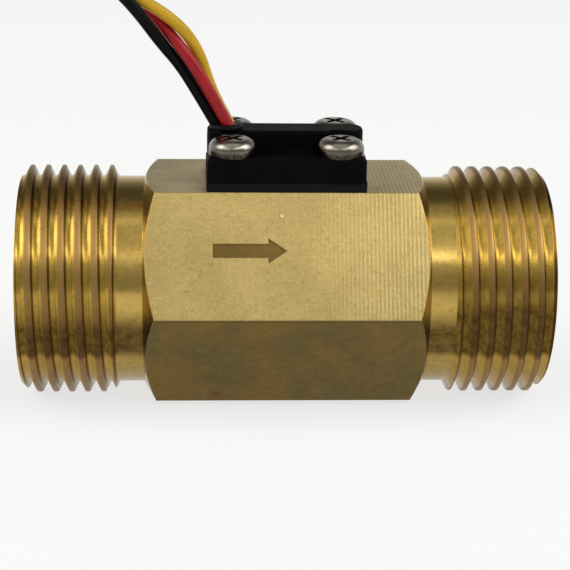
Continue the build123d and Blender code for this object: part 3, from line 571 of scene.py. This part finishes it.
EXIT_LEAN = math.radians(30)
EXIT_X = -8.47
WIRE_SPACING = 1.75
SIDE = WIRE_SPACING * math.sqrt(3) / 6
EXIT_TOP = AXIS + CAP_TOP
SOLDER_Z = AXIS + SOLDER_PADS + WIRE_DIAMETER / 2 * math.sin(EXIT_LEAN) + 0.02


def on_exit_line(across, y, z):
    """The point of a leaning wire at a height; across is its distance from the bundle's middle."""
    lift = z - EXIT_TOP - across * math.sin(EXIT_LEAN)
    return (EXIT_X + across * math.cos(EXIT_LEAN) - lift * math.tan(EXIT_LEAN), y, z)


ROUTES = {
    "red_wire": [
        on_exit_line(SIDE, -WIRE_SPACING / 2, SOLDER_Z),
        on_exit_line(SIDE, -WIRE_SPACING / 2, 41.6),
        (-11.0, -1.1, 45.2),
        (-13.1, -1.2, 48.8),
        (-15.8, -0.2, 52.2),
        (-19.2, 1.8, 55.5),
        (-23.1, 2.0, 59.0),
        (-27.6, 0.7, 62.8),
        (-34.6, -0.6, 65.5),
        (-42.8, -2.1, 65.6),
        (-50.1, -3.8, 61.7),
        (-55.7, -5.4, 54.4),
        (-59.2, -6.8, 45.0),
        (-61.1, -7.8, 34.7),
        (-61.8, -7.9, 24.5),
        (-61.9, -5.9, 14.4),
        (-61.8, 0.3, 6.6),
        (-61.7, 7.6, 2.4),
        (-61.55, 14.4, 0.9),
        (-61.5, 20.3, 2.9),
        (-61.5, 26.0, 2.9),
    ],
    "yellow_wire": [
        on_exit_line(SIDE, WIRE_SPACING / 2, SOLDER_Z),
        on_exit_line(SIDE, WIRE_SPACING / 2, 41.6),
        (-10.9, 1.0, 45.5),
        (-12.2, 1.0, 49.8),
        (-14.5, -0.1, 53.6),
        (-18.6, -1.1, 56.9),
        (-23.5, -0.5, 59.0),
        (-28.4, -0.2, 61.4),
        (-35.0, -0.4, 63.4),
        (-42.3, -2.0, 63.7),
        (-48.9, -3.5, 60.2),
        (-54.1, -5.2, 53.5),
        (-57.3, -6.7, 44.5),
        (-59.1, -7.7, 34.5),
        (-59.6, -7.8, 24.4),
        (-59.0, -5.7, 14.5),
        (-57.6, 0.3, 6.5),
        (-56.9, 7.6, 2.4),
        (-56.6, 14.4, 0.9),
        (-56.5, 20.3, 2.9),
        (-56.5, 26.0, 2.9),
    ],
    "black_wire": [
        on_exit_line(-2 * SIDE, 0.0, SOLDER_Z),
        on_exit_line(-2 * SIDE, 0.0, 41.2),
        (-12.75, 0.3, 44.8),
        (-15.0, 0.45, 48.4),
        (-17.8, -0.6, 51.85),
        (-20.3, -2.05, 55.6),
        (-23.3, -2.8, 59.2),
        (-27.8, -2.2, 62.1),
        (-34.6, -2.4, 64.6),
        (-42.3, -3.8, 64.8),
        (-49.2, -5.4, 61.2),
        (-54.6, -7.0, 54.2),
        (-58.1, -8.4, 45.0),
        (-60.0, -9.4, 34.6),
        (-60.6, -9.5, 24.3),
        (-60.5, -7.3, 14.2),
        (-59.7, -0.3, 6.0),
        (-59.3, 7.3, 2.1),
        (-59.1, 14.3, 0.9),
        (-59.0, 20.3, 2.9),
        (-59.0, 26.0, 2.9),
    ],
}


def lay_wire(name, material):
    """A limp wire as one smooth spline along its route, from the solder pad to the connector."""
    points = ROUTES[name]
    curve = bpy.data.curves.new(name + "_insulation", "CURVE")
    curve.dimensions = "3D"
    spline = curve.splines.new("NURBS")
    spline.points.add(len(points) - 1)
    for point, (x, y, z) in zip(spline.points, points):
        point.co = (x * MM, y * MM, z * MM, 1.0)
    spline.order_u = 3
    spline.use_endpoint_u = True
    curve.resolution_u = 10
    curve.bevel_depth = WIRE_DIAMETER * MM / 2
    curve.bevel_resolution = 5
    curve.use_fill_caps = True
    curve.materials.append(material)
    wire = bpy.data.objects.new(name + "_insulation", curve)
    bpy.context.scene.collection.objects.link(wire)
    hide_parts(name)
    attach(wire, "housing_body")


lay_wire("red_wire", RED)
lay_wire("yellow_wire", YELLOW)
lay_wire("black_wire", BLACK)


# Floor: plain, pale and matt. The camera and reflections see it near white, and it keeps its
# shadow.

FLOOR_HALF = 4.0
FLOOR_WHITE_SHARE = 0.72
floor_mesh = bpy.data.meshes.new("floor")
floor_mesh.from_pydata(
    [(x * FLOOR_HALF, y * FLOOR_HALF, 0) for x, y in ((-1, -1), (1, -1), (1, 1), (-1, 1))],
    [],
    [(0, 1, 2, 3)],
)
floor = bpy.data.objects.new("floor", floor_mesh)
bpy.context.scene.collection.objects.link(floor)
floor_paint = empty_material("pale_floor_paint")
tree = floor_paint.node_tree

white_share = add(tree, "Math", {0: seen_directly(tree), 1: FLOOR_WHITE_SHARE},
                  operation="MULTIPLY")[0]
paint = add(tree, "BsdfDiffuse", {"Color": srgb("#F6F6F4")})[0]
white = add(tree, "Emission", {"Color": (1, 1, 1, 1), "Strength": 1.0})[0]
surface = add(tree, "MixShader", {0: white_share, 1: paint, 2: white})[0]
add(tree, "OutputMaterial", {0: surface})
floor_mesh.materials.append(floor_paint)


# Studio: pale behind and dim in front, so that the turned brass shows light and dark bands

world = bpy.data.worlds.new("studio")
bpy.context.scene.world = world
world.use_nodes = True
tree = world.node_tree
tree.nodes.clear()
_, towards_back, upwards = add(tree, "SeparateXYZ", {0: add(tree, "TexCoord")["Generated"]})


def studio_wall(stops):
    """The grey of one side of the studio by height, from (height, grey) stops."""
    grey_by_height = add(tree, "ValToRGB", {0: upwards})[0]
    elements = grey_by_height.node.color_ramp.elements
    while len(elements) < len(stops):
        elements.new(0.5)
    for element, (position, grey) in zip(elements, stops):
        element.position = position
        element.color = (grey, grey, grey * 0.985, 1)
    return grey_by_height


front_wall = studio_wall(
    [(0.0, 0.30), (0.25, 0.33), (0.5, 0.5), (0.68, 0.7), (0.9, 0.6), (1.0, 0.55)])
back_wall = studio_wall(
    [(0.0, 0.8), (0.3, 0.6), (0.45, 0.3), (0.7, 0.08), (0.9, 0.1), (1.0, 0.55)])
side = add(tree, "MapRange", {0: towards_back, 1: -0.3, 2: 0.3})[0]
walls = add(tree, "Mix", {0: side, 6: front_wall, 7: back_wall}, data_type="RGBA")[2]
near_horizon = add(tree, "MapRange", {0: upwards, 1: 0.08, 2: 0.02, 3: 0.0, 4: 1.0})[0]
pale = add(tree, "Math", {0: seen_directly(tree), 1: near_horizon}, operation="MULTIPLY")[0]
backdrop = add(tree, "Mix", {0: pale, 6: walls, 7: (0.97, 0.97, 0.96, 1.0)},
               data_type="RGBA")[2]
add(tree, "OutputWorld", {0: add(tree, "Background", {0: backdrop, 1: 1.0})[0]})


# Lamps: five softboxes. The two narrow front ones draw the bright lines on necks and threads.

LAMP_DISTANCE = 0.8
LAMP_TARGET = Vector((0, 0, 0.02))


def softbox(name, azimuth, elevation, width, height, brightness):
    """A rectangular area lamp on a sphere round the part; brightness is its own radiance."""
    light = bpy.data.lights.new(name, "AREA")
    light.shape = "RECTANGLE"
    light.size = width
    light.size_y = height
    light.energy = brightness * math.pi * width * height
    turn, rise = math.radians(azimuth), math.radians(elevation)
    way = Vector((math.sin(turn) * math.cos(rise), -math.cos(turn) * math.cos(rise),
                  math.sin(rise)))
    lamp = bpy.data.objects.new(name, light)
    lamp.location = LAMP_TARGET + LAMP_DISTANCE * way
    lamp.rotation_mode = "QUATERNION"
    lamp.rotation_quaternion = (-way).to_track_quat("-Z", "Y")
    bpy.context.scene.collection.objects.link(lamp)


softbox("key_softbox", 30, 43, 0.55, 0.14, 2.5)
softbox("second_softbox", -40, 36, 0.42, 0.1, 2.2)
softbox("left_softbox", -80, 38, 0.5, 0.5, 3.0)
softbox("right_softbox", 80, 38, 0.5, 0.5, 3.0)
softbox("top_softbox", 0, 84, 0.6, 0.12, 0.6)


# Camera at the photograph's viewpoint. Angles are in radians, the focal length in pixels.

CAMERA_PLACE = Vector((-12.14, -236.34, 97.16)) * MM
YAW = 0.053
PITCH = 0.332
ROLL = 0.018
FOCAL_PIXELS = 1692.75
FRAME_PIXELS = 570

right = Vector((math.cos(YAW), -math.sin(YAW), 0))
ahead = Vector((math.sin(YAW) * math.cos(PITCH), math.cos(YAW) * math.cos(PITCH),
                -math.sin(PITCH)))
above = right.cross(ahead)
rolled_right = math.cos(ROLL) * right + math.sin(ROLL) * above
rolled_above = math.cos(ROLL) * above - math.sin(ROLL) * right
camera_data = bpy.data.cameras.new("camera")
camera_data.sensor_width = 36.0
camera_data.lens = camera_data.sensor_width * FOCAL_PIXELS / FRAME_PIXELS
camera_data.clip_start = 0.01
camera_data.clip_end = 20.0
camera = bpy.data.objects.new("camera", camera_data)
camera.matrix_world = Matrix((
    (rolled_right.x, rolled_above.x, -ahead.x, CAMERA_PLACE.x),
    (rolled_right.y, rolled_above.y, -ahead.y, CAMERA_PLACE.y),
    (rolled_right.z, rolled_above.z, -ahead.z, CAMERA_PLACE.z),
    (0, 0, 0, 1),
))
bpy.context.scene.collection.objects.link(camera)
bpy.context.scene.camera = camera
bpy.context.scene.view_settings.view_transform = "Standard"
